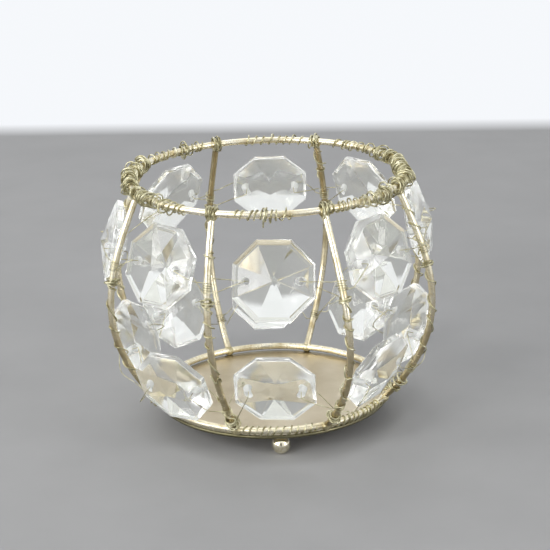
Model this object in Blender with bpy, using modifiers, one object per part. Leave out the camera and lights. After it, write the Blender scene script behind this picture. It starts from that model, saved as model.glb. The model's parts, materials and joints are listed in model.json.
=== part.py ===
"""A crystal votive holder, in metres with +Z up.

A bulging cage of eight bent wire ribs stands between a rim ring and a base ring, on a round
plate with three ball feet. Each of the eight panels between the ribs holds an upper and a lower
octagon crystal. Thin tie wires, wound round the ribs, pass through the two holes of each crystal,
so it swings on the line between its holes. Short windings of the same thin wire go round the rim.

The origin is on the holder's vertical axis, at the level that the feet stand on. The front is -Y.
Panels and ribs are numbered from the front, turning towards +X.
"""

from math import acos, cos, pi, radians, sin

import bmesh
import bpy
import numpy as np
from mathutils import Matrix, Vector

# Rings, plate and feet
PANELS = 8
RIM_RADIUS = 0.0350
RIM_HEIGHT = 0.0650
BASE_RADIUS = 0.0300
BASE_HEIGHT = 0.0070
CAGE_WIRE = 0.0017
PLATE_RADIUS = 0.0303
PLATE_THICKNESS = 0.0010
PLATE_FALL = 0.0001
PLATE_EDGE = 0.0003
SEAT_RADIUS = 0.0286
FOOT_DIAMETER = 0.0049
FOOT_CIRCLE = 0.0280
FOOT_AZIMUTHS = (3, 123, 243)
JOINT_GAP = 0.0003
PLATE_GAP = 0.0004

# Each rib bows out by its own amount beyond the straight line between the rings, as bent by hand,
# and its foot stands a few degrees round from its top
RIB_BOWS = (0.0148, 0.0115, 0.0110, 0.0111, 0.0105, 0.0115, 0.0113, 0.0092)
RIB_SKEW = 0.87
RIB_FOOT_TURNS = (3, 3, 2, 4, 1, 2, 2, 4)
RIB_POINTS = 11

# Octagon crystals: a thin girdle between two eight-sided pyramids, drilled from face to face
CRYSTAL_SIDES = 8
CRYSTAL_FLATS = 0.0200
CRYSTAL_GIRDLE = 0.0028
CRYSTAL_THICKNESS = 0.0074
HOLE_DIAMETER = 0.0020
HOLE_REACH = 0.0065
UPPER_HEIGHT = 0.0500
UPPER_TILT = 19
UPPER_OUT = 0.0017
LOWER_HEIGHT = 0.0205
LOWER_TILT = -25
LOWER_OUT = -0.0005

# How crystals hang off the even place: distances along the ties, up and out, and angles in
# degrees of lean about the ties, turn about the upright and roll in the crystal's own plane
HANG = {
    "crystal_upper_1": {"slide": 0.0002, "turn": -2},
    "crystal_upper_2": {"slide": -0.0026, "lift": 0.0020, "turn": -6, "lean": -4},
    "crystal_upper_3": {"lift": 0.0016, "out": -0.0006, "turn": -14, "lean": -7},
    "crystal_upper_4": {"slide": 0.0018, "lift": 0.0012, "lean": -3},
    "crystal_upper_5": {"slide": -0.0008, "lift": 0.0006, "lean": 3},
    "crystal_upper_6": {"slide": -0.0022, "lift": 0.0010, "lean": 3},
    "crystal_upper_7": {"lift": -0.0015, "out": -0.0004, "turn": 6, "lean": -6},
    "crystal_upper_8": {"slide": 0.0013, "lift": 0.0008, "turn": 4},
    "crystal_lower_1": {"slide": -0.0018, "lift": 0.0006, "lean": 2.5},
    "crystal_lower_2": {"slide": -0.0026, "lift": 0.0014, "roll": 5},
    "crystal_lower_3": {"lift": 0.0028, "out": -0.0020, "turn": 18},
    "crystal_lower_7": {"slide": -0.0004, "lift": 0.0012, "out": -0.0016, "turn": -20},
    "crystal_lower_8": {"slide": 0.0009, "lift": -0.0018, "out": 0.0024, "turn": 8, "lean": 4},
}

# Tie wires: how far below the crystals' holes they are wound round the ribs
TIE_WIRE = 0.0005
TURN_RADIUS = 0.00155
TURN_POINTS = 8
TIE_TURNS = 2
TIE_PITCH = 0.0010
UPPER_TIE_DROP = 0.0025
LOWER_TIE_DROP = 0.0060
TIE_RISE = 0.0011
TIE_BEND = 0.0008
TIE_RUN_IN = 0.0022
TIE_END_DROP = 0.0022
TIE_END_REACH = 0.0010

# Windings on the rim: first and last azimuth in degrees, and turns
RIM_WINDINGS = (
    (-11, 8, 7),
    (30, 48, 4),
    (78, 98, 4),
    (118, 136, 3),
    (168, 190, 4),
    (212, 230, 3),
    (252, 272, 4),
    (302, 326, 4),
)

# Fineness of the solids, and how wires are measured against themselves
RING_SEGMENTS = 48
WIRE_SIDES = 8
FOOT_SIDES = 14
FOOT_ARC_STEPS = 8
MERGE = 0.00001
MEASURE_STEP = 0.00025
NEIGHBOUR_LENGTH = 0.0025

GOLD = (0.62, 0.54, 0.36)
FINE_GOLD = (0.50, 0.44, 0.27)
PLATE_BRONZE = (0.42, 0.33, 0.25)
GLASS = (0.88, 0.91, 0.93)


def polar(radius, azimuth, height):
    """The point at an azimuth in degrees, which is 0 at the front and turns towards +X."""
    turn = radians(azimuth)
    return Vector((radius * sin(turn), -radius * cos(turn), height))


def material(name, colour, roughness, metallic, clear=0.0):
    made = bpy.data.materials.new(name)
    made.use_nodes = True
    shader = made.node_tree.nodes["Principled BSDF"]
    shader.inputs["Base Color"].default_value = (*colour, 1.0)
    shader.inputs["Roughness"].default_value = roughness
    shader.inputs["Metallic"].default_value = metallic
    shader.inputs["Transmission Weight"].default_value = clear
    made.diffuse_color = (*colour, 1.0)
    return made


def placed(name, data, look, cage, matrix=None):
    """An object of this mesh or curve under the cage's empty."""
    thing = bpy.data.objects.new(name, data)
    bpy.data.collections["crystal_votive_holder"].objects.link(thing)
    thing.parent = cage
    if matrix:
        thing.matrix_basis = matrix
    if not data.materials:
        data.materials.append(look)
    return thing


def wire(name, path, diameter, fineness, look, cage):
    """A round wire along these points, with closed ends."""
    curve = bpy.data.curves.new(name, "CURVE")
    curve.dimensions = "3D"
    curve.bevel_depth = diameter / 2
    curve.bevel_resolution = fineness
    curve.use_fill_caps = True
    spline = curve.splines.new("POLY")
    spline.points.add(len(path) - 1)
    for point, place in zip(spline.points, path):
        point.co = (*place, 1.0)
    return placed(name, curve, look, cage)


def shade(mesh):
    mesh.shade_smooth()
    mesh.set_sharp_from_angle(angle=radians(35))


# Ribs


def rib_point(number, height):
    """The centre of rib 0 to 7 at a height between the rings."""
    share = (height - BASE_HEIGHT) / (RIM_HEIGHT - BASE_HEIGHT)
    straight = BASE_RADIUS + (RIM_RADIUS - BASE_RADIUS) * share
    bow = RIB_BOWS[number % PANELS] * sin(pi * share**RIB_SKEW)
    azimuth = 360 / PANELS * (number + 0.5) + RIB_FOOT_TURNS[number % PANELS] * (1 - share) ** 2
    return polar(straight + bow, azimuth, height)


def rib_axes(number, height):
    """The rib's centre at a height, and its directions outwards, sideways and up along it."""
    step = 0.0001
    along = (rib_point(number, height + step) - rib_point(number, height - step)).normalized()
    radial = rib_point(number, height) * Vector((1, 1, 0))
    side = along.cross(radial).normalized()
    return rib_point(number, height), side.cross(along), side, along


def rib_end(number, ring_height, inward):
    """The height at which a rib stops, a joint's gap short of the ring's wire."""
    step = 0.00001
    height = ring_height
    while (rib_point(number, height) - rib_point(number, ring_height)).length < (
        CAGE_WIRE / 2 + JOINT_GAP
    ):
        height += inward * step
    return height


def add_ribs(look, cage):
    for number in range(PANELS):
        top = rib_end(number, RIM_HEIGHT, -1)
        foot = rib_end(number, BASE_HEIGHT, 1)
        path = [
            rib_point(number, foot + (top - foot) * step / (RIB_POINTS - 1))
            for step in range(RIB_POINTS)
        ]
        wire(f"rib_{number + 1}", path, CAGE_WIRE, 2, look, cage)


# Rings, plate and feet


def add_ring(name, radius, height, look, cage):
    bpy.ops.mesh.primitive_torus_add(
        major_segments=RING_SEGMENTS,
        minor_segments=WIRE_SIDES,
        major_radius=radius,
        minor_radius=CAGE_WIRE / 2,
    )
    ring = bpy.context.object
    mesh = ring.data
    bpy.data.objects.remove(ring)
    shade(mesh)
    placed(name, mesh, look, cage, Matrix.Translation((0, 0, height)))


def add_plate(look, cage):
    """A disc that is flat inside the base ring and falls a little from there to a rounded edge."""
    top = BASE_HEIGHT - CAGE_WIRE / 2 - PLATE_GAP
    edge_thickness = PLATE_THICKNESS - PLATE_FALL
    mesh = bpy.data.meshes.new("base_plate")
    shape = bmesh.new()
    bmesh.ops.create_cone(
        shape,
        cap_ends=True,
        segments=RING_SEGMENTS,
        radius1=PLATE_RADIUS,
        radius2=PLATE_RADIUS,
        depth=edge_thickness,
    )
    upper_face = max(shape.faces, key=lambda face: face.calc_center_median().z)
    bmesh.ops.inset_region(
        shape, faces=[upper_face], thickness=PLATE_RADIUS - SEAT_RADIUS, depth=PLATE_FALL
    )
    shape.to_mesh(mesh)
    shape.free()
    shade(mesh)
    middle = top - PLATE_FALL - edge_thickness / 2
    plate = placed("base_plate", mesh, look, cage, Matrix.Translation((0, 0, middle)))
    edge = plate.modifiers.new("rounded edge", "BEVEL")
    edge.width = PLATE_EDGE
    edge.segments = 2
    edge.limit_method = "ANGLE"
    return top - PLATE_THICKNESS


def add_feet(plate_bottom, look, cage):
    """Three balls, each with a small flat at the top against the plate."""
    radius = FOOT_DIAMETER / 2
    flat_height = plate_bottom - JOINT_GAP
    flat_angle = acos((flat_height - radius) / radius)
    step = (pi - flat_angle) / FOOT_ARC_STEPS
    angles = [flat_angle + step * count for count in range(FOOT_ARC_STEPS)]
    profile = [(0, flat_height)]
    profile += [(radius * sin(angle), radius + radius * cos(angle)) for angle in angles]
    profile += [(0, 0)]
    mesh = bpy.data.meshes.new("ball_foot")
    points = [(across, 0, height) for across, height in profile]
    mesh.from_pydata(points, [(i, i + 1) for i in range(len(points) - 1)], [])
    for number, azimuth in enumerate(FOOT_AZIMUTHS):
        place = Matrix.Translation(polar(FOOT_CIRCLE, azimuth, 0))
        foot = placed(f"ball_foot_{number + 1}", mesh, look, cage, place)
        turn = foot.modifiers.new("turned", "SCREW")
        turn.steps = FOOT_SIDES
        turn.render_steps = FOOT_SIDES
        turn.use_merge_vertices = True
        turn.merge_threshold = MERGE
        turn.use_smooth_shade = True


# Crystals


def crystal_frame(row, panel):
    """A crystal's matrix: X along the line between its holes, Y up its face and Z out of it."""
    upper = row == "upper"
    hang = HANG.get(f"crystal_{row}_{panel % PANELS + 1}", {})
    height = (UPPER_HEIGHT if upper else LOWER_HEIGHT) + hang.get("lift", 0)
    left = rib_point(panel - 1, height)
    right = rib_point(panel, height)
    across = (right - left).normalized()
    outward = across.cross(Vector((0, 0, 1)))
    out = (UPPER_OUT if upper else LOWER_OUT) + hang.get("out", 0)
    centre = (left + right) / 2 + outward * out + across * hang.get("slide", 0)
    tilt = radians((UPPER_TILT if upper else LOWER_TILT) + hang.get("lean", 0))
    facing = outward * cos(tilt) + Vector((0, 0, 1)) * sin(tilt)
    level = Matrix((across, facing.cross(across), facing)).transposed()
    turned = Matrix.Rotation(radians(hang.get("turn", 0)), 3, "Y")
    rolled = Matrix.Rotation(radians(hang.get("roll", 0)), 3, "Z")
    return Matrix.Translation(centre) @ (level @ turned @ rolled).to_4x4()


def crystal_mesh():
    """An octagon crystal with level sides, its two holes cut out."""
    half = CRYSTAL_GIRDLE / 2
    half_turn = pi / CRYSTAL_SIDES
    corner = CRYSTAL_FLATS / 2 / cos(half_turn)
    profile = [(0, CRYSTAL_THICKNESS / 2), (corner, half), (corner, -half)]
    profile += [(0, -CRYSTAL_THICKNESS / 2)]
    mesh = bpy.data.meshes.new("crystal_blank")
    points = [
        (across * cos(half_turn), across * sin(half_turn), height) for across, height in profile
    ]
    mesh.from_pydata(points, [(0, 1), (1, 2), (2, 3)], [])
    blank = bpy.data.objects.new("crystal_blank", mesh)
    bpy.data.collections["cutters"].objects.link(blank)
    turn = blank.modifiers.new("eight sides", "SCREW")
    turn.steps = CRYSTAL_SIDES
    turn.render_steps = CRYSTAL_SIDES
    turn.use_merge_vertices = True
    turn.merge_threshold = MERGE
    turn.use_smooth_shade = False
    drills = []
    for side in (-1, 1):
        drill_mesh = bpy.data.meshes.new("drill")
        shape = bmesh.new()
        bmesh.ops.create_cone(
            shape,
            cap_ends=True,
            segments=WIRE_SIDES,
            radius1=HOLE_DIAMETER / 2,
            radius2=HOLE_DIAMETER / 2,
            depth=2 * CRYSTAL_THICKNESS,
            matrix=Matrix.Translation((side * HOLE_REACH, 0, 0)),
        )
        shape.to_mesh(drill_mesh)
        shape.free()
        drill = bpy.data.objects.new("drill", drill_mesh)
        drill.hide_render = True
        drill.display_type = "WIRE"
        bpy.data.collections["cutters"].objects.link(drill)
        cut = blank.modifiers.new("hole", "BOOLEAN")
        cut.object = drill
        drills.append(drill)
    graph = bpy.context.evaluated_depsgraph_get()
    drilled = bpy.data.meshes.new_from_object(blank.evaluated_get(graph))
    drilled.name = "crystal"
    for helper in (blank, *drills):
        bpy.data.objects.remove(helper)
    return drilled


def add_crystals(look, cage):
    mesh = crystal_mesh()
    for row in ("upper", "lower"):
        for panel in range(PANELS):
            placed(f"crystal_{row}_{panel + 1}", mesh, look, cage, crystal_frame(row, panel))


# Tie wires and windings


def turns_round(axes, first, last, turns):
    """A wire's points round a core. axes gives the core's centre and two directions across it."""
    steps = turns * TURN_POINTS
    path = []
    for step in range(steps + 1):
        centre, out, side = axes(first + (last - first) * step / steps)[:3]
        angle = 2 * pi * step / TURN_POINTS
        path.append(centre + TURN_RADIUS * (cos(angle) * out + sin(angle) * side))
    return path


def loop_through(frame, hole_side, run_in, end):
    """A tie wire's points from its end at the rib's inner side, through a hole, to the run-in."""
    inside = frame.inverted()
    hole = Vector((hole_side * HOLE_REACH, 0, 0))
    slope = (CRYSTAL_THICKNESS - CRYSTAL_GIRDLE) / CRYSTAL_FLATS
    mouth = CRYSTAL_THICKNESS / 2 - slope * HOLE_REACH
    clear_of_edge = CRYSTAL_FLATS / 2 + TIE_WIRE - HOLE_REACH
    sides = []
    for target, face in ((end, -1), (run_in, 1)):
        away = (inside @ target - hole) * Vector((1, 1, 0))
        past_edge = away * clear_of_edge / abs(away.x)
        up = Vector((0, 0, face))
        sides.append(
            [
                hole + up * (mouth + TIE_WIRE),
                hole + away.normalized() * TIE_BEND + up * (mouth + TIE_RISE),
                hole + past_edge + up * (CRYSTAL_GIRDLE / 2 + TIE_RISE + TIE_WIRE / 2),
            ]
        )
    back, front = sides
    return [end] + [frame @ point for point in back[::-1] + front] + [run_in]


def tie_path(row, number):
    """The tie wire wound on rib 0 to 7, with a loop through a crystal on each side of it."""
    before = crystal_frame(row, number)
    after = crystal_frame(row, number + 1)
    drop = UPPER_TIE_DROP if row == "upper" else LOWER_TIE_DROP
    height = (before.translation.z + after.translation.z) / 2 - drop
    centre, out, side, along = rib_axes(number, height)
    half = TIE_TURNS * TIE_PITCH / 2
    rise = along.z * half
    wound = turns_round(lambda at: rib_axes(number, at), height + rise, height - rise, TIE_TURNS)
    run_out = side * TIE_RUN_IN
    lower_end = centre - along * TIE_END_DROP - (side + out) * TIE_END_REACH
    upper_end = centre + along * TIE_END_DROP + (side - out) * TIE_END_REACH
    first = loop_through(before, 1, wound[0] - run_out, lower_end)
    last = loop_through(after, -1, wound[-1] + run_out, upper_end)
    return first + wound + last[::-1]


def rim_axes(azimuth):
    return polar(RIM_RADIUS, azimuth, RIM_HEIGHT), polar(1, azimuth, 0), Vector((0, 0, 1))


def least_gap(path):
    """The least gap between a wire and itself, measured on points a quarter millimetre apart."""
    points = []
    for start, end in zip(path, path[1:]):
        pieces = max(1, round((end - start).length / MEASURE_STEP))
        points += [start.lerp(end, step / pieces) for step in range(pieces)]
    places = np.array(points)
    lengths = np.linalg.norm(np.diff(places, axis=0), axis=1)
    along = np.concatenate([[0], np.cumsum(lengths)])
    apart = np.abs(along[:, None] - along[None, :]) > NEIGHBOUR_LENGTH
    distances = np.linalg.norm(places[:, None] - places[None, :], axis=2)
    return distances[apart].min() - TIE_WIRE


def add_thin_wires(look, cage):
    paths = {}
    for row in ("upper", "lower"):
        for number in range(PANELS):
            paths[f"tie_wire_{row}_{number + 1}"] = tie_path(row, number)
    for number, (first, last, turns) in enumerate(RIM_WINDINGS):
        paths[f"rim_winding_{number + 1}"] = turns_round(rim_axes, first, last, turns)
    for name, path in paths.items():
        wire(name, path, TIE_WIRE, 1, look, cage)
        print(f"{name}: least gap to itself {least_gap(path) * 1000:.2f} mm")


def main():
    for thing in list(bpy.data.objects):
        bpy.data.objects.remove(thing)
    for name in ("crystal_votive_holder", "cutters"):
        bpy.context.scene.collection.children.link(bpy.data.collections.new(name))
    cage = bpy.data.objects.new("cage", None)
    bpy.data.collections["crystal_votive_holder"].objects.link(cage)
    gold = material("pale gold wire", GOLD, 0.30, 1.0)
    fine_gold = material("fine gold wire", FINE_GOLD, 0.38, 1.0)
    bronze = material("plate metal", PLATE_BRONZE, 0.35, 1.0)
    glass = material("cut crystal", GLASS, 0.03, 0.0, clear=1.0)
    add_ring("rim_ring", RIM_RADIUS, RIM_HEIGHT, gold, cage)
    add_ring("base_ring", BASE_RADIUS, BASE_HEIGHT, gold, cage)
    add_ribs(gold, cage)
    plate_bottom = add_plate(bronze, cage)
    add_feet(plate_bottom, gold, cage)
    add_crystals(glass, cage)
    add_thin_wires(fine_gold, cage)


main()
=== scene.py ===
"""The looks of a crystal votive holder, in metres with +Z up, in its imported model's frame.

Smooth wires, turned metal, cut crystals and fine windings stand for the plainer solids of the
frame, each in its own place. The front is -Y. Panels and ribs are numbered from the front,
turning towards +X, and rib n stands between panels n and n + 1.
"""

import json
import random
from math import cos, pi, radians, sin, tau

import bmesh
import bpy
import numpy as np
from mathutils import Matrix, Vector, noise


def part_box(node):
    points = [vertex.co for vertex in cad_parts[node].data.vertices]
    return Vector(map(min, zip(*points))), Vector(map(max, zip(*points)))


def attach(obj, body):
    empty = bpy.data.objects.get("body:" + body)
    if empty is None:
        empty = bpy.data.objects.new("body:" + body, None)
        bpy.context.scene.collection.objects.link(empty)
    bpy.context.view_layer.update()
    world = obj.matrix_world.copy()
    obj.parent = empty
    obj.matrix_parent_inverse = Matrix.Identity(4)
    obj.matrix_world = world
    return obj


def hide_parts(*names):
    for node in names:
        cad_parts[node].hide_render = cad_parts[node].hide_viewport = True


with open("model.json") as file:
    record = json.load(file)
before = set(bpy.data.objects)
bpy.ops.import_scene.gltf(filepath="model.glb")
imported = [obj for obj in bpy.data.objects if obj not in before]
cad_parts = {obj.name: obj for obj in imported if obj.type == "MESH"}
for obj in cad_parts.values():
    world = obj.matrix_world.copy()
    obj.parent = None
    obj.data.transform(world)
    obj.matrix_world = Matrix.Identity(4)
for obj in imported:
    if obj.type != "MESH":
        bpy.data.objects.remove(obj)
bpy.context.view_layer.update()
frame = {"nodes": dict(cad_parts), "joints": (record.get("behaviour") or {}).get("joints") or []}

PANELS = 8
ROWS = ("upper", "lower")

# Sizes read from the frame
rim_low, rim_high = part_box("rim_ring")
base_low, base_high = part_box("base_ring")
plate_low, plate_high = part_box("base_plate")
foot_low, foot_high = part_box("ball_foot_1")
CAGE_WIRE = rim_high.z - rim_low.z
RIM_HEIGHT = (rim_high.z + rim_low.z) / 2
RIM_RADIUS = (rim_high.x - rim_low.x - CAGE_WIRE) / 2
BASE_HEIGHT = (base_high.z + base_low.z) / 2
BASE_RADIUS = (base_high.x - base_low.x - CAGE_WIRE) / 2
PLATE_RADIUS = (plate_high.x - plate_low.x) / 2
PLATE_TOP = plate_high.z
PLATE_BOTTOM = plate_low.z
FOOT_RADIUS = (foot_high.y - foot_low.y) / 2

# Ribs, counted from 0 here: how far each bows out beyond the straight line between the rings, the
# power that makes the bow fullest a little below its middle, and the degrees by which each foot
# is turned round the base ring
RIB_BOWS = (0.0148, 0.0115, 0.0110, 0.0111, 0.0105, 0.0115, 0.0113, 0.0092)
RIB_SKEW = 0.87
RIB_FOOT_TURNS = (3, 3, 2, 4, 1, 2, 2, 4)

# The two rear ribs, also counted from 0, have more painted shade than the others and are bare at
# their feet
REAR_RIBS = (3, 4)

# How uneven the wires of ribs and rings are, and their fineness
RIB_BEND = 0.00012
RIB_SWELL = 0.00002
HOOP_LIFT = 0.00010
HOOP_FLARE = 0.00008
SLOPE_STEP = 0.0001
RIB_STEPS = 90
HOOP_STEPS = 240
WIRE_SIDES = 20

# Lumps of solder: half sizes outwards, sideways and along, where they sit on the ribs' ends, and
# how far and how closely their surface swells, coarsely and finely
RIM_JOINT = (0.00115, 0.00125, 0.00140)
BASE_JOINT = (0.00118, 0.00145, 0.00135)
RIM_JOINT_DROP = 0.0006
BASE_JOINT_RISE = 0.0002
BASE_JOINT_DROP = 0.0003
BASE_JOINT_SEED = 20
SWELL = 0.16
SWELL_SCALE = 1.9
GRAIN = 0.05
GRAIN_SCALE = 5

# The plate: the dip under its seat, how full its rolled edge is, and its fineness
PLATE_DIP = 0.00003
PLATE_ROLL = 0.98
PLATE_STEPS = 40
ROLL_STEPS = 12
PLATE_SEGMENTS = 160
PLATE_WAVES = 60
PLATE_WAVE_HEIGHT = 0.00003

# The feet: their necks of solder against the ball's radius, and their fineness
NECK = 0.42
NECK_TOP = 1.45
NECK_MIDDLE = 1.12
NECK_ANGLE = 0.46
NECK_DROP = 0.00010
NECK_GAP = 0.00001
BALL_STEPS = 28
BALL_SEGMENTS = 48

# Cut octagon crystals: their outline and facets, and their two holes with the drill that cuts
# them and what tells the holes' walls from the facets
CORNERS = 8
FLATS = 0.0200
APEX = 0.0037
FACE_SLOPE = 0.27
FACE_REACH = 0.0086
GIRDLE = 0.0015
HOLE_RADIUS = 0.0010
HOLE_REACH = 0.0065
HOLE_MOUTH = APEX - FACE_SLOPE * HOLE_REACH
HOLE_SEGMENTS = 28
HOLE_CHAMFER = 0.00012
DRILL_FLARE = 0.0014
DRILL_LENGTH = 0.006
WALL_MARGIN = 1.2
WALL_LEAN = 0.9
SHARP_FROM = 40
EDGE_WEAR = 0.00010

# Fine wire
FINE_WIRE = 0.00038
FINE_SIDES = 10
FINE_STEPS = 2
WRAP_GAP = 0.00003
TURN_POINTS = 12

# How soon a turn takes up its slack, and the shares of a winding of which the first and the
# last lead from an even pitch to an uneven one
TAKE_UP = 0.55
PITCH_SHARES = 10

# Where each kind of piece starts its random draws
SEEDS = {
    "rim_hoop": 11,
    "base_hoop": 12,
    "rib": 100,
    "tie_upper": 300,
    "tie_lower": 350,
    "rim_winding": 500,
    "rim_loose": 560,
    "base_winding": 600,
    "rim_knot": 700,
    "rim_lump": 750,
    "lace": 800,
    "foot_knot": 900,
    "tie_knot_upper": 950,
    "tie_knot_lower": 1000,
}


def polar(radius, azimuth, height):
    """The point at an azimuth in degrees, which is 0 at the front and turns towards +X."""
    turn = radians(azimuth)
    return Vector((radius * sin(turn), -radius * cos(turn), height))


def draws(kind, number=0):
    """The random draws of one piece of a kind, the same in each run."""
    return random.Random(SEEDS[kind] + number)


def in_scene(name, data):
    """An object of this mesh, lamp or camera, linked to the scene."""
    thing = bpy.data.objects.new(name, data)
    bpy.context.scene.collection.objects.link(thing)
    return thing


# Materials

# Heights between which the ribs' painted shade changes, where the painted shade on the plate's edge
# starts and ends, and how often light bounces and mirrors before it counts as caught in a crystal,
# where the glass gives a painted glow
SHADE_FROM = 0.024
SHADE_TO = 0.046
EDGE_SHADE_FROM = 0.0296
EDGE_SHADE_TO = 0.0303
CAUGHT_AFTER = (("Glossy Depth", 3.5), ("Ray Depth", 11.5))


class Nodes:
    """A node tree and short ways to add to it."""

    def __init__(self, tree):
        self.tree = tree

    def add(self, kind, **settings):
        node = self.tree.nodes.new(kind)
        for name, value in settings.items():
            setattr(node, name, value)
        return node

    def link(self, source, target):
        self.tree.links.new(source, target)

    def ramp(self, factor, stops):
        node = self.add("ShaderNodeValToRGB")
        band = node.color_ramp
        while len(band.elements) < len(stops):
            band.elements.new(1.0)
        for element, (position, colour) in zip(band.elements, stops):
            element.position = position
            element.color = (*colour, 1.0)
        self.link(factor, node.inputs["Fac"])
        return node.outputs["Color"]

    def range(self, value, low, high, from_low=0.3, from_high=0.7):
        """A value, by default one of noise, taken from one range to another."""
        node = self.add("ShaderNodeMapRange")
        node.inputs["From Min"].default_value = from_low
        node.inputs["From Max"].default_value = from_high
        node.inputs["To Min"].default_value = low
        node.inputs["To Max"].default_value = high
        self.link(value, node.inputs["Value"])
        return node.outputs["Result"]

    def math(self, operation, *values):
        """The result of an operation on sockets and plain numbers."""
        node = self.add("ShaderNodeMath", operation=operation)
        for socket, value in zip(node.inputs, values):
            if isinstance(value, float):
                socket.default_value = value
            else:
                self.link(value, socket)
        return node.outputs[0]

    def split(self, vector):
        node = self.add("ShaderNodeSeparateXYZ")
        self.link(vector, node.inputs["Vector"])
        return node.outputs

    def length(self, vector):
        node = self.add("ShaderNodeVectorMath", operation="LENGTH")
        self.link(vector, node.inputs[0])
        return node.outputs["Value"]

    def seen(self):
        """1 where a ray comes from the camera, a mirror or glass, and 0 where it only lights."""
        rays = self.add("ShaderNodeLightPath").outputs
        shown = self.math("MAXIMUM", rays["Is Camera Ray"], rays["Is Transmission Ray"])
        return self.math("MAXIMUM", shown, rays["Is Glossy Ray"])


class Look(Nodes):
    """A material made of a few nodes round one Principled shader."""

    def __init__(self, name):
        self.material = bpy.data.materials.new(name)
        self.material.use_nodes = True
        super().__init__(self.material.node_tree)
        self.shader = self.tree.nodes["Principled BSDF"]
        self.place = self.add("ShaderNodeTexCoord").outputs["Object"]

    def noise(self, scale, detail=4.0, roughness=0.55, stretch=None):
        place = self.place
        if stretch:
            mapping = self.add("ShaderNodeMapping")
            mapping.inputs["Scale"].default_value = stretch
            self.link(place, mapping.inputs["Vector"])
            place = mapping.outputs["Vector"]
        node = self.add("ShaderNodeTexNoise")
        node.inputs["Scale"].default_value = scale
        node.inputs["Detail"].default_value = detail
        node.inputs["Roughness"].default_value = roughness
        self.link(place, node.inputs["Vector"])
        return node.outputs["Fac"]

    def mix(self, factor, first, second):
        node = self.add("ShaderNodeMix", data_type="RGBA")
        self.link(factor, node.inputs["Factor"])
        self.link(first, node.inputs["A"])
        self.link(second, node.inputs["B"])
        return node.outputs["Result"]

    def bump(self, height, strength, distance):
        node = self.add("ShaderNodeBump")
        node.inputs["Strength"].default_value = strength
        node.inputs["Distance"].default_value = distance
        self.link(height, node.inputs["Height"])
        self.link(node.outputs["Normal"], self.shader.inputs["Normal"])

    def catch_light(self, level):
        """A painted glow at this level where light has bounced too often between the facets, in
        place of black.
        """
        rays = self.add("ShaderNodeLightPath").outputs
        deep = [self.math("GREATER_THAN", rays[name], most) for name, most in CAUGHT_AFTER]
        self.glow(self.math("MAXIMUM", *deep), level)

    def paint_glow_within(self, level):
        """A painted glow at this level wherever the surface is seen, standing for the light that
        the glass round it leads to it.
        """
        self.glow(self.seen(), level)

    def glow(self, share, level):
        strength = self.range(share, 0.0, level, 0.0, 1.0)
        self.link(strength, self.shader.inputs["Emission Strength"])

    def colour(self, output):
        self.link(output, self.shader.inputs["Base Color"])

    def rough(self, output):
        self.link(output, self.shader.inputs["Roughness"])

    def set(self, **values):
        for name, value in values.items():
            self.shader.inputs[name.replace("_", " ")].default_value = value


def gold_wire(name, shade_low=0.0, shade_high=0.0):
    """Pale champagne gold plating with browner patches, and painted shade that darkens it by height
    where asked.
    """
    look = Look(name)
    look.set(Metallic=1.0)
    patches = look.noise(240, 5)
    specks = look.noise(2600, 3)
    browner = [(0.30, (0.62, 0.52, 0.31)), (0.44, (0.87, 0.80, 0.60)), (0.70, (0.95, 0.91, 0.77))]
    plating = look.ramp(patches, browner)
    dull = look.ramp(specks, [(0.33, (0.66, 0.58, 0.40)), (0.52, (1.0, 1.0, 1.0))])
    whole = look.add("ShaderNodeMix", data_type="RGBA", blend_type="MULTIPLY")
    whole.inputs["Factor"].default_value = 0.55
    look.link(plating, whole.inputs["A"])
    look.link(dull, whole.inputs["B"])
    colour = whole.outputs["Result"]
    if shade_low or shade_high:
        # Painted shade: a darker, browner gold is mixed in by height, between the two heights above
        shaded = look.ramp(patches, [(0.32, (0.36, 0.29, 0.16)), (0.68, (0.66, 0.57, 0.37))])
        height = look.split(look.place)["Z"]
        share = look.range(height, shade_low, shade_high, SHADE_FROM, SHADE_TO)
        colour = look.mix(share, colour, shaded)
    look.colour(colour)
    look.rough(look.range(patches, 0.38, 0.22))
    look.bump(look.noise(5200, 3), 0.15, 0.00003)
    return look.material


def foot_gold():
    """The ball feet: the same plating, polished, with a few dull specks."""
    look = Look("polished_gold")
    look.set(Metallic=1.0)
    specks = look.noise(1500, 4)
    golds = [(0.30, (0.62, 0.54, 0.36)), (0.50, (0.88, 0.82, 0.63)), (0.72, (0.95, 0.91, 0.77))]
    look.colour(look.ramp(specks, golds))
    look.rough(look.range(specks, 0.16, 0.07))
    look.bump(specks, 0.05, 0.00003)
    return look.material


def fine_wire():
    """Thin binding wire, duller and more olive than the cage."""
    look = Look("fine_gold_wire")
    look.set(Metallic=1.0)
    patches = look.noise(520, 4)
    olives = [(0.34, (0.27, 0.24, 0.13)), (0.52, (0.55, 0.52, 0.34)), (0.70, (0.83, 0.80, 0.62))]
    look.colour(look.ramp(patches, olives))
    look.rough(look.range(patches, 0.46, 0.26))
    look.bump(look.noise(7000, 2), 0.3, 0.00002)
    return look.material


def plate_metal():
    """Brownish gold sheet with wiping streaks and darker stains, and painted shade on its edge."""
    look = Look("plate_metal")
    look.set(Metallic=1.0)
    stains = look.noise(70, 5)
    browns = [(0.28, (0.47, 0.40, 0.28)), (0.50, (0.57, 0.50, 0.37)), (0.75, (0.65, 0.58, 0.45))]
    sheet = look.ramp(stains, browns)
    # Painted shade: the rolled edge is darkened to a dark brown
    edge_shade = look.ramp(stains, [(0.28, (0.12, 0.11, 0.06)), (0.75, (0.26, 0.24, 0.15))])
    edge = look.range(look.length(look.place), 0.0, 1.0, EDGE_SHADE_FROM, EDGE_SHADE_TO)
    look.colour(look.mix(edge, sheet, edge_shade))
    look.rough(look.range(stains, 0.44, 0.28))
    look.bump(look.noise(260, 2, 0.5, (1.0, 0.3, 1.0)), 0.03, 0.00003)
    return look.material


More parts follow.
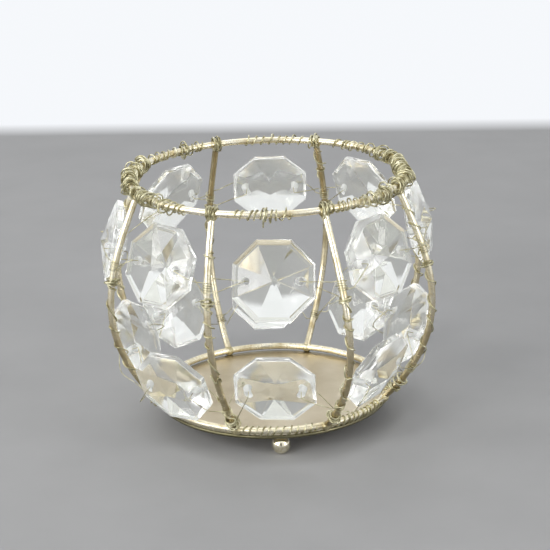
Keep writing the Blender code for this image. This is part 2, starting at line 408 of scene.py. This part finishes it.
def solder():
    """The plated solder at the joints: uneven, a little darker in its dips."""
    look = Look("plated_solder")
    look.set(Metallic=1.0)
    lumps = look.noise(900, 4)
    golds = [(0.32, (0.34, 0.28, 0.14)), (0.52, (0.62, 0.55, 0.34)), (0.75, (0.86, 0.80, 0.58))]
    look.colour(look.ramp(lumps, golds))
    look.rough(look.range(lumps, 0.48, 0.28))
    look.bump(lumps, 0.5, 0.00012)
    return look.material


def crystal_glass():
    """Clear polished glass with a faint yellow green cast and wipe marks."""
    look = Look("cut_crystal")
    look.set(Transmission_Weight=0.94, IOR=1.53)
    wipes = look.noise(160, 4, 0.6, (1.0, 1.0, 0.35))
    look.colour(look.ramp(wipes, [(0.35, (0.955, 0.968, 0.925)), (0.65, (0.988, 0.992, 0.958))]))
    look.rough(look.range(wipes, 0.050, 0.008))
    look.bump(look.noise(420, 2), 0.05, 0.00003)
    # Painted glow where light is caught between the facets
    look.catch_light(0.75)
    return look.material


def drilled_glass():
    """The ground, whitish inside of a drilled hole, with a faint painted glow."""
    look = Look("drilled_crystal")
    look.set(Transmission_Weight=0.25, IOR=1.53)
    grain = look.noise(5000, 3)
    look.colour(look.ramp(grain, [(0.3, (0.86, 0.88, 0.87)), (0.7, (0.97, 0.98, 0.98))]))
    look.rough(look.range(grain, 0.60, 0.35))
    look.bump(grain, 0.4, 0.00004)
    # Painted glow: the walls of the holes glow faintly
    look.paint_glow_within(0.15)
    return look.material


GOLD = gold_wire("pale_gold_wire")
# Painted shade: the ribs darken towards their feet; the rear ribs are darker all along, most
# towards their tops
RIB_GOLD = gold_wire("foot_shaded_gold_wire", shade_low=1.0)
REAR_GOLD = gold_wire("shaded_rear_gold_wire", shade_low=0.45, shade_high=1.0)
FOOT = foot_gold()
FINE = fine_wire()
PLATE = plate_metal()
SOLDER = solder()
GLASS = crystal_glass()
DRILLED = drilled_glass()


# Meshes


def piece(name, mesh, looks, body="cage", nodes=()):
    """A piece of the object with these materials, riding on a body in place of these nodes."""
    thing = in_scene(name, mesh)
    for look in looks:
        mesh.materials.append(look)
    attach(thing, body)
    if nodes:
        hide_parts(*nodes)


def mesh_of(name, shape):
    """A mesh of a bmesh, which is freed."""
    mesh = bpy.data.meshes.new(name)
    shape.to_mesh(mesh)
    shape.free()
    return mesh


def smooth_path(points, steps):
    """A Catmull-Rom curve through the points, with this many steps between two of them."""
    spots = [Vector(point) for point in points]
    ends = [2 * spots[0] - spots[1]] + spots + [2 * spots[-1] - spots[-2]]
    path = []
    for before, start, end, after in zip(ends, ends[1:], ends[2:], ends[3:]):
        for step in range(steps):
            t = step / steps
            path.append(
                0.5
                * (
                    2 * start
                    + (end - before) * t
                    + (2 * before - 5 * start + 4 * end - after) * t**2
                    + (3 * start - before - 3 * end + after) * t**3
                )
            )
    return path + [spots[-1]]


def tube_mesh(name, path, radius, sides, closed=False):
    """A round wire along a path, with round ends unless it is a closed ring."""
    points = np.array([tuple(point) for point in path])
    sizes = np.broadcast_to(np.asarray(radius, float), len(points)).copy()
    if closed:
        tangents = np.roll(points, -1, axis=0) - np.roll(points, 1, axis=0)
    else:
        tangents = np.gradient(points, axis=0)
    tangents /= np.linalg.norm(tangents, axis=1)[:, None]
    if not closed:
        cap_angles = np.radians((80, 55, 28))
        first, last = tangents[0], tangents[-1]
        head = [points[0] - first * sizes[0] * sin(angle) for angle in cap_angles]
        tail = [points[-1] + last * sizes[-1] * sin(angle) for angle in cap_angles[::-1]]
        caps = np.cos(cap_angles)
        points = np.vstack([head, points, tail])
        sizes = np.concatenate([caps * sizes[0], sizes, caps[::-1] * sizes[-1]])
        tangents = np.vstack([[first] * len(caps), tangents, [last] * len(caps)])
    start = np.array((0, 0, 1.0)) if abs(tangents[0][2]) < 0.9 else np.array((1.0, 0, 0))
    normals = []
    normal = start
    for tangent in tangents:
        normal = normal - tangent * normal.dot(tangent)
        normal /= np.linalg.norm(normal)
        normals.append(normal)
    normals = np.array(normals)
    binormals = np.cross(tangents, normals)
    angles = np.arange(sides) * tau / sides
    rings = points[:, None] + sizes[:, None, None] * (
        np.cos(angles)[None, :, None] * normals[:, None]
        + np.sin(angles)[None, :, None] * binormals[:, None]
    )
    count = len(points)
    vertices = rings.reshape(-1, 3).tolist()
    faces = []
    for ring in range(count if closed else count - 1):
        here, there = ring * sides, (ring + 1) % count * sides
        for side in range(sides):
            beside = (side + 1) % sides
            faces.append((here + side, here + beside, there + beside, there + side))
    if not closed:
        for ring, turn in ((0, -1), (count - 1, 1)):
            face = [ring * sides + side for side in range(sides)]
            faces.append(face[::turn])
    mesh = bpy.data.meshes.new(name)
    mesh.from_pydata(vertices, [], faces)
    mesh.shade_smooth()
    return mesh


def wobble(rng, size, waves=3):
    """A smooth random function of a share from 0 to 1, at most about this size."""
    parts = [(rng.uniform(-1, 1), rng.uniform(0, tau), wave + 1) for wave in range(waves)]

    def value(share):
        return size * sum(a / k * sin(k * tau * share + p) for a, p, k in parts) / 1.5

    return value


# Ribs and rings


def rib_point(number, height):
    """The centre of rib 0 to 7 at a height between the rings."""
    share = (height - BASE_HEIGHT) / (RIM_HEIGHT - BASE_HEIGHT)
    straight = BASE_RADIUS + (RIM_RADIUS - BASE_RADIUS) * share
    inner = min(max(share, 0.0), 1.0)
    bow = RIB_BOWS[number % PANELS] * sin(pi * inner**RIB_SKEW)
    azimuth = 360 / PANELS * (number + 0.5) + RIB_FOOT_TURNS[number % PANELS] * (1 - share) ** 2
    return polar(straight + bow, azimuth, height)


def rib_axes(number, height):
    """A rib's centre at a height, and its directions outwards, sideways and up along it."""
    above, below = rib_point(number, height + SLOPE_STEP), rib_point(number, height - SLOPE_STEP)
    along = (above - below).normalized()
    radial = rib_point(number, height) * Vector((1, 1, 0))
    side = along.cross(radial).normalized()
    return rib_point(number, height), side.cross(along), side, along


def rim_axes(azimuth):
    return polar(RIM_RADIUS, azimuth, RIM_HEIGHT), polar(1, azimuth, 0), Vector((0, 0, 1))


def base_axes(azimuth):
    return polar(BASE_RADIUS, azimuth, BASE_HEIGHT), polar(1, azimuth, 0), Vector((0, 0, 1))


def make_ribs():
    inset = CAGE_WIRE / 2
    for number in range(PANELS):
        rng = draws("rib", number)
        bend = wobble(rng, RIB_BEND)
        thick = wobble(rng, RIB_SWELL, 6)
        path, radii = [], []
        for step in range(RIB_STEPS + 1):
            share = step / RIB_STEPS
            height = BASE_HEIGHT + inset * 0.5 + (RIM_HEIGHT - BASE_HEIGHT - inset) * share
            centre, out, side, _ = rib_axes(number, height)
            path.append(centre + (out + side * 0.6) * bend(share) * sin(pi * share))
            radii.append(CAGE_WIRE / 2 + thick(share))
        mesh = tube_mesh("rib_wire", path, radii, WIRE_SIDES)
        # The rear ribs take the stronger painted shade
        gold = REAR_GOLD if number in REAR_RIBS else RIB_GOLD
        piece(f"rib_wire_{number + 1}", mesh, [gold], nodes=[f"rib_{number + 1}"])


def make_hoops():
    hoops = (("rim_hoop", rim_axes, "rim_ring"), ("base_hoop", base_axes, "base_ring"))
    for name, axes, node in hoops:
        rng = draws(name)
        lift, flare = wobble(rng, HOOP_LIFT, 5), wobble(rng, HOOP_FLARE, 5)
        path = []
        for step in range(HOOP_STEPS):
            share = step / HOOP_STEPS
            centre, out, up = axes(360 * share)
            path.append(centre + out * flare(share) + up * lift(share))
        mesh = tube_mesh(name, path, CAGE_WIRE / 2, WIRE_SIDES, closed=True)
        piece(name, mesh, [GOLD], nodes=[node])


def lump_of_solder(name, centre, sizes, axes, seed):
    """An uneven round body stretched along three directions."""
    shape = bmesh.new()
    bmesh.ops.create_icosphere(shape, subdivisions=4, radius=1.0)
    turned = Matrix(axes).transposed()
    for vertex in shape.verts:
        lump = 1 + SWELL * noise.noise(vertex.co * SWELL_SCALE + Vector((seed, 0, 0)))
        lump += GRAIN * noise.noise(vertex.co * GRAIN_SCALE + Vector((0, seed, 0)))
        local = Vector([size * value for size, value in zip(sizes, vertex.co * lump)])
        vertex.co = centre + turned @ local
    mesh = mesh_of(name, shape)
    mesh.shade_smooth()
    piece(name, mesh, [SOLDER])


def make_solder():
    """A lump where each rib meets the rim, and one at its foot, between base ring and plate."""
    for number in range(PANELS):
        top, *axes = rib_axes(number, RIM_HEIGHT - RIM_JOINT_DROP)
        lump_of_solder(f"rim_joint_{number + 1}", top, RIM_JOINT, axes, number)
        foot, *axes = rib_axes(number, BASE_HEIGHT + BASE_JOINT_RISE)
        low = foot - Vector((0, 0, BASE_JOINT_DROP))
        seed = BASE_JOINT_SEED + number
        lump_of_solder(f"base_joint_{number + 1}", low, BASE_JOINT, axes, seed)


# Plate and feet


def turned_mesh(name, profile, segments):
    """A profile of radius and height pairs, from the axis back to it, turned round Z."""
    shape = bmesh.new()
    columns = []
    for step in range(segments):
        angle = tau * step / segments
        column = []
        for radius, height in profile[1:-1]:
            column.append(shape.verts.new((radius * cos(angle), radius * sin(angle), height)))
        columns.append(column)
    top = shape.verts.new((0, 0, profile[0][1]))
    bottom = shape.verts.new((0, 0, profile[-1][1]))
    for here, there in zip(columns, columns[1:] + columns[:1]):
        shape.faces.new((top, here[0], there[0]))
        shape.faces.new((bottom, there[-1], here[-1]))
        for step in range(len(here) - 1):
            shape.faces.new((here[step], here[step + 1], there[step + 1], there[step]))
    bmesh.ops.recalc_face_normals(shape, faces=shape.faces)
    mesh = mesh_of(name, shape)
    mesh.shade_smooth()
    return mesh


def make_plate():
    """A thin disc, flat where a candle stands, with a rolled edge and slightly wavy metal."""
    half = (PLATE_TOP - PLATE_BOTTOM) / 2
    middle = PLATE_BOTTOM + half
    roll = half * PLATE_ROLL
    flat = PLATE_RADIUS - roll
    profile = [(0, PLATE_TOP - PLATE_DIP)]
    for step in range(1, PLATE_STEPS + 1):
        profile.append((flat * step / PLATE_STEPS, PLATE_TOP - PLATE_DIP))
    for step in range(1, ROLL_STEPS):
        angle = pi / 2 - pi * step / ROLL_STEPS
        profile.append((flat + roll * cos(angle), middle + half * sin(angle)))
    for step in range(PLATE_STEPS, 0, -2):
        profile.append((flat * step / PLATE_STEPS, PLATE_BOTTOM))
    profile.append((0, PLATE_BOTTOM))
    mesh = turned_mesh("plate_disc", profile, PLATE_SEGMENTS)
    for vertex in mesh.vertices:
        vertex.co.z += noise.noise(vertex.co * PLATE_WAVES) * PLATE_WAVE_HEIGHT
    piece("plate_disc", mesh, [PLATE], nodes=["base_plate"])


def make_feet():
    """Each foot is a ball with a short neck of solder up to the plate."""
    radius = FOOT_RADIUS
    neck = radius * NECK
    neck_top = PLATE_BOTTOM - NECK_GAP
    for number in range(1, 4):
        low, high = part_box(f"ball_foot_{number}")
        centre = (low + high) / 2
        profile = [(0, neck_top), (neck * NECK_TOP, neck_top)]
        profile.append((neck * NECK_MIDDLE, PLATE_BOTTOM - NECK_DROP))
        for step in range(BALL_STEPS):
            angle = NECK_ANGLE + (pi - NECK_ANGLE) * step / BALL_STEPS
            profile.append((radius * sin(angle), low.z + radius + radius * cos(angle)))
        profile.append((0, low.z))
        mesh = turned_mesh("foot_ball", profile, BALL_SEGMENTS)
        mesh.transform(Matrix.Translation((centre.x, centre.y, 0)))
        name = f"foot_ball_{number}"
        piece(name, mesh, [FOOT], nodes=[f"ball_foot_{number}"])


# Crystals


def crystal_place(name):
    """A crystal's matrix: X along the line between its holes, Y up its face and Z out of it."""
    joint = next(joint for joint in frame["joints"] if joint["child"] == name)
    centre = Vector(joint["pos_m"])
    across = Vector(joint["axis"]).normalized()
    corners = {tuple(round(x, 6) for x in v.co) for v in frame["nodes"][name].data.vertices}
    spots = np.array(sorted(corners)) - np.array(centre)
    outward = Vector(np.linalg.eigh(spots.T @ spots)[1][:, 0])
    if outward.dot(centre * Vector((1, 1, 0))) < 0:
        outward = -outward
    up = outward.cross(across).normalized()
    return Matrix.Translation(centre) @ Matrix((across, up, across.cross(up))).transposed().to_4x4()


def crystal_blank():
    """An octagon cut with eight main facets and eight edge facets on each face, not yet drilled."""
    half_turn = pi / CORNERS
    face_edge = APEX - FACE_SLOPE * FACE_REACH
    rings = [(FACE_REACH, face_edge), (FLATS / 2, GIRDLE / 2)]
    rings += [(FLATS / 2, -GIRDLE / 2), (FACE_REACH, -face_edge)]
    shape = bmesh.new()
    loops = []
    for reach, height in rings:
        corner = reach / cos(half_turn)
        angles = [half_turn * (2 * step + 1) for step in range(CORNERS)]
        loops.append([shape.verts.new((corner * cos(a), corner * sin(a), height)) for a in angles])
    front = shape.verts.new((0, 0, APEX))
    back = shape.verts.new((0, 0, -APEX))
    for step in range(CORNERS):
        beside = (step + 1) % CORNERS
        shape.faces.new((front, loops[0][step], loops[0][beside]))
        shape.faces.new((back, loops[-1][beside], loops[-1][step]))
        for upper, lower in zip(loops, loops[1:]):
            shape.faces.new((upper[step], lower[step], lower[beside], upper[beside]))
    bmesh.ops.bevel(
        shape,
        geom=list(shape.edges),
        offset=EDGE_WEAR,
        segments=2,
        profile=0.5,
        affect="EDGES",
        clamp_overlap=True,
    )
    bmesh.ops.recalc_face_normals(shape, faces=shape.faces)
    return in_scene("crystal_blank", mesh_of("crystal_blank", shape))


def crystal_mesh():
    """The blank with its two holes, which are wider at their mouths and have the drilled look."""
    blank = crystal_blank()
    mouth = HOLE_MOUTH - HOLE_CHAMFER
    flare = HOLE_RADIUS + DRILL_FLARE
    drills = []
    for side in (-1, 1):
        profile = [(0, DRILL_LENGTH), (flare, DRILL_LENGTH), (HOLE_RADIUS, mouth)]
        profile += [(HOLE_RADIUS, -mouth), (flare, -DRILL_LENGTH), (0, -DRILL_LENGTH)]
        drill_mesh = turned_mesh("drill", profile, HOLE_SEGMENTS)
        drill_mesh.transform(Matrix.Translation((side * HOLE_REACH, 0, 0)))
        drill = in_scene("drill", drill_mesh)
        cut = blank.modifiers.new("hole", "BOOLEAN")
        cut.object = drill
        drills.append(drill)
    graph = bpy.context.evaluated_depsgraph_get()
    mesh = bpy.data.meshes.new_from_object(blank.evaluated_get(graph))
    mesh.name = "cut_crystal"
    for helper in (blank, *drills):
        bpy.data.objects.remove(helper)
    mesh.materials.clear()
    mesh.materials.append(GLASS)
    mesh.materials.append(DRILLED)
    for face in mesh.polygons:
        centre = face.center
        from_axis = (Vector((abs(centre.x), centre.y)) - Vector((HOLE_REACH, 0))).length
        in_hole = from_axis < HOLE_RADIUS * WALL_MARGIN and abs(face.normal.z) < WALL_LEAN
        face.material_index = 1 if in_hole else 0
        face.use_smooth = in_hole
    mesh.set_sharp_from_angle(angle=radians(SHARP_FROM))
    return mesh


def make_crystals():
    cut = crystal_mesh()
    places = {}
    for row in ROWS:
        for panel in range(PANELS):
            name = f"crystal_{row}_{panel + 1}"
            places[row, panel] = crystal_place(name)
            mesh = cut.copy()
            mesh.transform(places[row, panel])
            piece(f"cut_{name}", mesh, [], body=name, nodes=[name])
    return places


# Fine wire


def wound(axes, first, last, turns, core, rng, loose=0.0, phase=0.0, stray=0.18):
    """Fine wire round a core. Each turn may stand off on one side, by up to loose."""
    steps = max(2, round(turns * TURN_POINTS))
    drift = wobble(rng, stray / max(turns, 1), 9)
    path = []
    stand_off = 0.0
    for step in range(steps + 1):
        if step % TURN_POINTS == 0:
            lean = rng.uniform(0, tau)
            slack = loose * rng.random() ** 1.5
        share = step / steps
        near = min(share, 1 - share, 1 / PITCH_SHARES) * PITCH_SHARES
        centre, out, side = axes(first + (last - first) * (share + drift(share) * near))[:3]
        angle = phase + tau * step / TURN_POINTS
        stand_off += (slack * max(0.0, cos(angle - lean)) - stand_off) * TAKE_UP
        radius = core + FINE_WIRE / 2 + WRAP_GAP + stand_off
        path.append(centre + radius * (cos(angle) * out + sin(angle) * side))
    return path


def bundle(axes, middle, spread, turns, core, rng, loose):
    """Fine wire wound to and fro over a short stretch, each turn over the last ones."""
    steps = round(turns * TURN_POINTS)
    sway = wobble(rng, spread, 6)
    lean = rng.uniform(0, tau)
    path = []
    for step in range(steps + 1):
        share = step / steps
        if step % TURN_POINTS == 0:
            lean += rng.uniform(1.0, 4.0)
            slack = loose * rng.random()
        centre, out, side = axes(middle + sway(share))[:3]
        angle = tau * step / TURN_POINTS
        bulge = slack * max(0.0, cos(angle - lean)) ** 2
        radius = core + FINE_WIRE * (0.5 + share) + WRAP_GAP + bulge
        path.append(centre + radius * (cos(angle) * out + sin(angle) * side))
    return path


def fine_piece(name, path, nodes=(), radius=FINE_WIRE / 2):
    mesh = tube_mesh(name, smooth_path(path, FINE_STEPS), radius, FINE_SIDES)
    piece(name, mesh, [FINE], nodes=nodes)


# Tie wires: where they are wound on the ribs, and how they go through the crystals
TIE_DROP = {"upper": 0.0025, "lower": 0.0060}
TIE_TURNS = 4
TIE_LOOSE = 0.0006
TIE_STEPS = 6
TIE_EDGE = 0.0014
TIE_PITCH = 0.00058
TIE_RISE = 0.0011
TIE_BEND = 0.0008
TIE_RUN_IN = 0.0022
TIE_END_DROP = 0.0022
TIE_END_REACH = 0.0010
TIE_CLEARANCE = 0.0004
TIE_WIRE = 0.00022


def loop_through(place, hole_side, run_in, end):
    """A tie wire's points from its end at the rib's inner side, through a hole, to the run-in."""
    inside = place.inverted()
    hole = Vector((hole_side * HOLE_REACH, 0, 0))
    clear_of_edge = FLATS / 2 + TIE_CLEARANCE - HOLE_REACH
    sides = []
    for target, face in ((end, -1), (run_in, 1)):
        away = (inside @ target - hole) * Vector((1, 1, 0))
        past_edge = away * clear_of_edge / abs(away.x)
        up = Vector((0, 0, face))
        sides.append(
            [
                hole + up * (HOLE_MOUTH + TIE_CLEARANCE),
                hole + away.normalized() * TIE_BEND + up * (HOLE_MOUTH + TIE_RISE),
                hole + past_edge + up * (TIE_EDGE + TIE_RISE + TIE_CLEARANCE / 2),
            ]
        )
    back, front = sides
    return [end] + [place @ point for point in back[::-1] + front] + [run_in]


def make_ties(places):
    for row in ROWS:
        for number in range(PANELS):
            rng = draws(f"tie_{row}", number)
            before = places[row, number]
            after = places[row, (number + 1) % PANELS]
            height = (before.translation.z + after.translation.z) / 2 - TIE_DROP[row]
            centre, out, side, along = rib_axes(number, height)
            half = TIE_TURNS * TIE_PITCH / 2
            rise = along.z * half
            turns = wound(
                lambda at: rib_axes(number, at),
                height + rise,
                height - rise,
                TIE_TURNS,
                CAGE_WIRE / 2,
                rng,
                TIE_LOOSE,
            )
            run_out = side * TIE_RUN_IN
            lower_end = centre - along * TIE_END_DROP - (side + out) * TIE_END_REACH
            upper_end = centre + along * TIE_END_DROP + (side - out) * TIE_END_REACH
            first = loop_through(before, 1, turns[0] - run_out, lower_end)
            last = loop_through(after, -1, turns[-1] + run_out, upper_end)
            path = smooth_path(first, TIE_STEPS)[:-1] + turns
            path += smooth_path(last[::-1], TIE_STEPS)[1:]
            name = f"tie_wire_{row}_{number + 1}"
            fine_piece(f"bound_{name}", path, nodes=[name], radius=TIE_WIRE / 2)


# Windings on the rings: first and last azimuth in degrees, turns, how loose and how uneven
RIM_WOUND = (
    (-13, 9, 9, 0.0012, 0.9),
    (24, 62, 15, 0.0011, 0.9),
    (66, 108, 18, 0.0016, 1.3),
    (112, 150, 11, 0.0010, 0.8),
    (163, 190, 8, 0.0008, 0.5),
    (208, 240, 10, 0.0009, 0.8),
    (244, 284, 18, 0.0016, 1.3),
    (289, 325, 14, 0.0012, 0.9),
)
BASE_WOUND = ((-15, 20, 11), (28, 64, 11), (76, 108, 9), (255, 290, 10))
BASE_STRAY = 0.4
BASE_WIRE = 0.00040

# Lumps where the rim's winding goes over itself: azimuth, turns
RIM_LUMPS = (
    (-1.5, 2),
    (55, 4),
    (79, 5),
    (88, 4),
    (101, 5),
    (120, 3),
    (219, 3),
    (247, 4),
    (259, 5),
    (270, 4),
    (281, 5),
    (301, 4),
)

# Loose wire left standing over the rim's windings at the sides: first and last azimuth, turns
RIM_LOOSE = ((74, 112, 8), (40, 66, 5), (248, 282, 8), (292, 318, 5))
RIM_LOOSE_BY = 0.0022
RIM_LOOSE_STRAY = 1.6

# Bunched wire: how far it goes to and fro, its turns and how loose it is. The turns of the
# rim's lumps are given with their places
RIM_KNOT = (2.4, 7, 0.0009)
RIM_LUMP = (2.0, 0.0013)
TIE_KNOT = (0.0013, 4, 0.0009)
FOOT_KNOT = (0.0009, 4, 0.0006)
RIM_KNOT_RISE = 0.0002
TIE_KNOT_DROP = {"upper": 0.0056, "lower": 0.0092}
TIE_KNOT_DRIFT = 0.0012
FOOT_KNOT_FROM = 0.0026
FOOT_KNOT_TO = 0.0042


def make_windings():
    for number, (first, last, turns, loose, stray) in enumerate(RIM_WOUND):
        rng = draws("rim_winding", number)
        path = wound(rim_axes, first, last, turns, CAGE_WIRE / 2, rng, loose, stray=stray)
        name = f"rim_winding_{number + 1}"
        fine_piece(f"bound_{name}", path, nodes=[name])
    for number, (first, last, turns) in enumerate(RIM_LOOSE):
        rng = draws("rim_loose", number)
        core = CAGE_WIRE / 2 + FINE_WIRE
        path = wound(
            rim_axes, first, last, turns, core, rng, RIM_LOOSE_BY, stray=RIM_LOOSE_STRAY
        )
        fine_piece(f"rim_loose_winding_{number + 1}", path)
    for number, (first, last, turns) in enumerate(BASE_WOUND):
        rng = draws("base_winding", number)
        path = wound(base_axes, first, last, turns, CAGE_WIRE / 2, rng, stray=BASE_STRAY)
        fine_piece(f"base_winding_{number + 1}", path, radius=BASE_WIRE / 2)


def make_knots():
    """Over the joints of ribs and rim, and here and there between them, the wire is bunched."""
    spread, turns, loose = RIM_KNOT
    core = CAGE_WIRE / 2 + RIM_KNOT_RISE
    for number in range(PANELS):
        azimuth = 360 / PANELS * (number + 0.5)
        path = bundle(rim_axes, azimuth, spread, turns, core, draws("rim_knot", number), loose)
        fine_piece(f"rim_knot_{number + 1}", path)
    spread, loose = RIM_LUMP
    core = CAGE_WIRE / 2 + FINE_WIRE
    for number, (azimuth, turns) in enumerate(RIM_LUMPS):
        path = bundle(rim_axes, azimuth, spread, turns, core, draws("rim_lump", number), loose)
        fine_piece(f"rim_lump_{number + 1}", path)


# Fine wire along the ribs: rib, first and last height, turns, and how loose it is
LACES = (
    (1, 0.0460, 0.0330, 3.5, 0.0006),
    (1, 0.0300, 0.0185, 2.0, 0.0004),
    (2, 0.0600, 0.0480, 3.0, 0.0008),
    (2, 0.0450, 0.0180, 4.5, 0.0008),
    (3, 0.0590, 0.0500, 2.5, 0.0008),
    (3, 0.0440, 0.0210, 4.0, 0.0008),
    (4, 0.0610, 0.0540, 2.5, 0.0008),
    (5, 0.0440, 0.0260, 3.0, 0.0006),
    (6, 0.0600, 0.0500, 3.0, 0.0008),
    (6, 0.0440, 0.0200, 4.5, 0.0008),
    (7, 0.0440, 0.0170, 5.0, 0.0008),
    (8, 0.0560, 0.0548, 1.5, 0.0005),
    (8, 0.0455, 0.0330, 4.0, 0.0008),
    (8, 0.0300, 0.0180, 2.0, 0.0004),
)
LACE_STRAY = 0.5


def make_laces():
    for number, (rib, first, last, turns, loose) in enumerate(LACES):
        rng = draws("lace", number)
        start = rng.uniform(0, tau)
        path = wound(
            lambda at: rib_axes(rib - 1, at),
            first,
            last,
            turns,
            CAGE_WIRE / 2,
            rng,
            loose,
            start,
            LACE_STRAY,
        )
        fine_piece(f"lace_{number + 1}", path)


def rib_knot(name, number, height, knot, rng):
    spread, turns, loose = knot
    core = CAGE_WIRE / 2
    path = bundle(lambda at: rib_axes(number, at), height, spread, turns, core, rng, loose)
    fine_piece(name, path)


def make_tie_knots(places):
    """The loose ends of the tie wires, wound to and fro on the ribs just under them."""
    for row in ROWS:
        for number in range(PANELS):
            if row == "lower" and number in REAR_RIBS:
                continue
            rng = draws(f"tie_knot_{row}", number)
            before = places[row, number].translation.z
            after = places[row, (number + 1) % PANELS].translation.z
            height = (before + after) / 2 - TIE_KNOT_DROP[row] - rng.uniform(0, TIE_KNOT_DRIFT)
            rib_knot(f"tie_knot_{row}_{number + 1}", number, height, TIE_KNOT, rng)


def make_foot_knots():
    """The fine wire's last turns just over the base ring, on all ribs but the two rear ones."""
    for number in range(PANELS):
        if number in REAR_RIBS:
            continue
        rng = draws("foot_knot", number)
        height = BASE_HEIGHT + rng.uniform(FOOT_KNOT_FROM, FOOT_KNOT_TO)
        rib_knot(f"foot_knot_{number + 1}", number, height, FOOT_KNOT, rng)


# The stage

# The floor: half its width, its two greys, and where it turns to the backdrop's white, which is
# all round it and along a slightly slanted line behind the object
FLOOR_REACH = 3.0
FLOOR_GREYS = [(0.3, (0.370, 0.371, 0.374)), (0.7, (0.399, 0.400, 0.403))]
WHITE_AROUND = (0.32, 0.42)
WHITE_BEHIND = (0.294, 0.314)
HORIZON_SLANT = 0.08
BACKDROP = (0.92, 0.94, 0.97, 1.0)

# The world: its colours from the horizon up, its strength where it only lights, and the darker
# strip in front that the facets and wires mirror
SKY = [(0.0, (0.91, 0.93, 0.96)), (0.30, (0.92, 0.93, 0.95)), (1.0, (0.93, 0.94, 0.95))]
SKY_LIGHT = 0.53
STRIP_SIDES = (0.14, 0.26)
STRIP_FRONT = (-0.82, -0.74)
STRIP_STRENGTH = 0.25

# Lamps: place, size, power and colour
LAMP_AIM = (0, 0, 0.03)
LAMPS = {
    "key": ((-0.54, -0.66, 0.42), (0.30, 0.56), 3.5, (1.0, 0.99, 0.97)),
    "side": ((-0.84, -0.20, 0.38), (0.34, 0.50), 2.2, (1.0, 1.0, 1.0)),
    "fill": ((0.66, -0.46, 0.34), (0.24, 0.50), 1.7, (1.0, 1.0, 1.0)),
    "top": ((-0.10, 0.40, 0.75), (0.60, 0.35), 1.0, (1.0, 1.0, 1.0)),
}

# The camera, fitted to the photograph
CAMERA_PLACE = (0, -0.48026, 0.20002)
CAMERA_AIM = (0, 0, 0.036)
CAMERA_ROLL = -1.8
CAMERA_LENS = 127.76
CAMERA_SENSOR = 36
CAMERA_SHIFT = (0.00878, 0.01371)


def make_floor():
    """A grey floor that ends against white."""
    mesh = bpy.data.meshes.new("floor")
    signs = ((-1, -1), (1, -1), (1, 1), (-1, 1))
    corners = [(x * FLOOR_REACH, y * FLOOR_REACH, 0) for x, y in signs]
    mesh.from_pydata(corners, [], [(0, 1, 2, 3)])
    floor = in_scene("floor", mesh)
    look = Look("floor")
    look.set(Roughness=0.75)
    look.colour(look.ramp(look.noise(30, 3), FLOOR_GREYS))
    around = look.range(look.length(look.place), 0.0, 1.0, *WHITE_AROUND)
    place = look.split(look.place)
    back = look.math("ADD", place["Y"], look.math("MULTIPLY", place["X"], HORIZON_SLANT))
    behind = look.range(back, 0.0, 1.0, *WHITE_BEHIND)
    amount = look.math("MULTIPLY", look.seen(), look.math("MAXIMUM", around, behind))
    glow = look.add("ShaderNodeEmission")
    glow.inputs["Color"].default_value = BACKDROP
    both = look.add("ShaderNodeMixShader")
    look.link(amount, both.inputs[0])
    look.link(look.shader.outputs[0], both.inputs[1])
    look.link(glow.outputs[0], both.inputs[2])
    look.link(both.outputs[0], look.tree.nodes["Material Output"].inputs["Surface"])
    mesh.materials.append(look.material)


def make_world():
    """A pale studio all round, seen at full strength and lighting at about half of it."""
    world = bpy.data.worlds.new("studio")
    world.use_nodes = True
    bpy.context.scene.world = world
    studio = Nodes(world.node_tree)
    background = studio.tree.nodes["Background"]
    towards = studio.split(studio.add("ShaderNodeTexCoord").outputs["Generated"])
    studio.link(studio.ramp(towards["Z"], SKY), background.inputs["Color"])
    sideways = studio.math("ABSOLUTE", towards["X"])
    middle = studio.range(sideways, 1.0, 0.0, *STRIP_SIDES)
    forward = studio.range(towards["Y"], 1.0, 0.0, *STRIP_FRONT)
    strip = studio.range(studio.math("MULTIPLY", middle, forward), 1.0, STRIP_STRENGTH, 0.0, 1.0)
    lit = studio.range(studio.seen(), SKY_LIGHT, 1.0, 0.0, 1.0)
    studio.link(studio.math("MULTIPLY", lit, strip), background.inputs["Strength"])


def make_lamps():
    for name, (place, size, power, colour) in LAMPS.items():
        data = bpy.data.lights.new(name, "AREA")
        data.shape = "RECTANGLE"
        data.size, data.size_y = size
        data.energy = power
        data.color = colour
        lamp = in_scene(name, data)
        lamp.location = place
        beam = Vector(LAMP_AIM) - Vector(place)
        lamp.rotation_euler = beam.to_track_quat("-Z", "Y").to_euler()
        lamp.visible_camera = False


def make_camera():
    """The photograph's view: from the front, a little above, the frame turned slightly."""
    place = Vector(CAMERA_PLACE)
    roll = radians(CAMERA_ROLL)
    forward = (Vector(CAMERA_AIM) - place).normalized()
    level = Vector((1, 0, 0))
    over = level.cross(forward)
    right = level * cos(roll) + over * sin(roll)
    up = over * cos(roll) - level * sin(roll)
    data = bpy.data.cameras.new("camera")
    data.sensor_width = CAMERA_SENSOR
    data.lens = CAMERA_LENS
    data.shift_x, data.shift_y = CAMERA_SHIFT
    data.clip_start = 0.01
    camera = in_scene("camera", data)
    turned = Matrix((right, up, -forward)).transposed().to_4x4()
    camera.matrix_world = Matrix.Translation(place) @ turned
    bpy.context.scene.camera = camera


make_camera()
make_floor()
make_world()
make_lamps()
bpy.context.scene.view_settings.view_transform = "Standard"
make_hoops()
make_ribs()
make_solder()
make_plate()
make_feet()
crystal_places = make_crystals()
make_ties(crystal_places)
make_windings()
make_knots()
make_laces()
make_tie_knots(crystal_places)
make_foot_knots()
